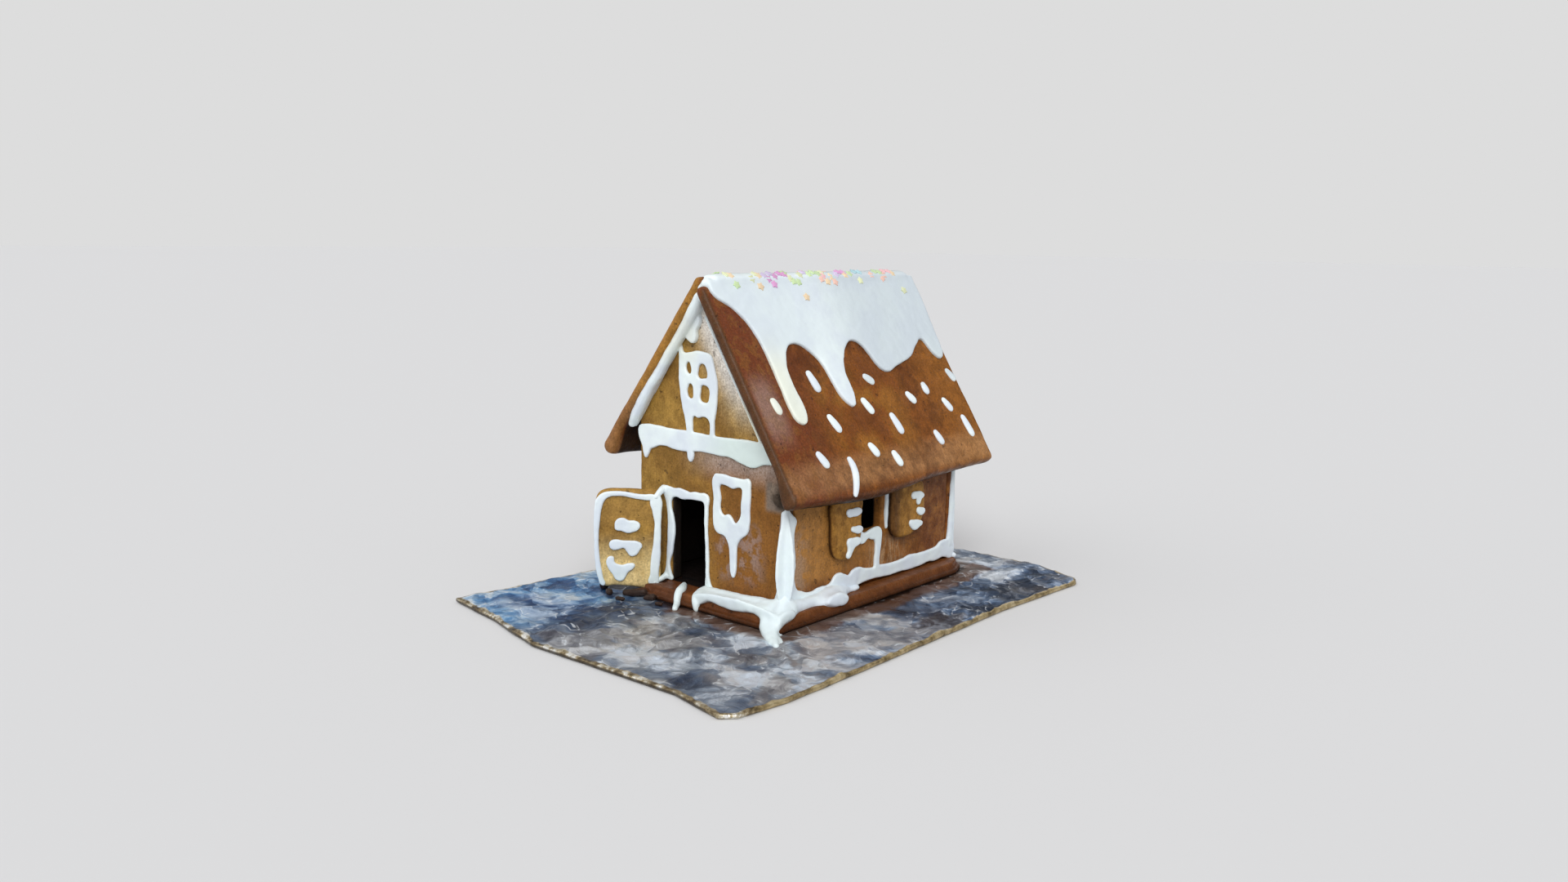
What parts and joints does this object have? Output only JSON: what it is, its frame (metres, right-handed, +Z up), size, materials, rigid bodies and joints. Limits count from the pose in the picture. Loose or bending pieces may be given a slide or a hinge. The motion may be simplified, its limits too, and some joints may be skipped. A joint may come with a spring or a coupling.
{
  "type": "gingerbread house",
  "caption": "Gingerbread house with piped icing, an open door, shuttered windows and an iced roof with star sprinkles, standing on its foil-covered cake board.",
  "frame": {"origin": "middle of the board's underside", "axes": "+Z up, +Y from the door to the back of the house, +X to the right as seen from in front of the door"},
  "size_m": [0.2568, 0.3434, 0.202],
  "materials": {
    "golden_gingerbread": "matte golden brown bake with a fine darker grain",
    "dark_gingerbread": "red-brown bake with a soft sheen",
    "icing": "set white sugar icing, smooth and slightly glossy",
    "board_foil": "crumpled kitchen foil over card"
  },
  "bodies": {
    "root": {"foil_board": "board_foil", "base_plate": "dark_gingerbread", "base_icing": "icing", "front_gable": "golden_gingerbread", "back_gable": "dark_gingerbread", "right_wall": "dark_gingerbread", "left_wall": "dark_gingerbread", "roof_right": "dark_gingerbread", "roof_left": "dark_gingerbread", "roof_icing": "icing", "door_leaf": "golden_gingerbread", "shutter_right_near": "golden_gingerbread", "shutter_right_far": "golden_gingerbread", "shutter_left_near": "golden_gingerbread", "shutter_left_far": "golden_gingerbread"}
  },
  "joints": []
}
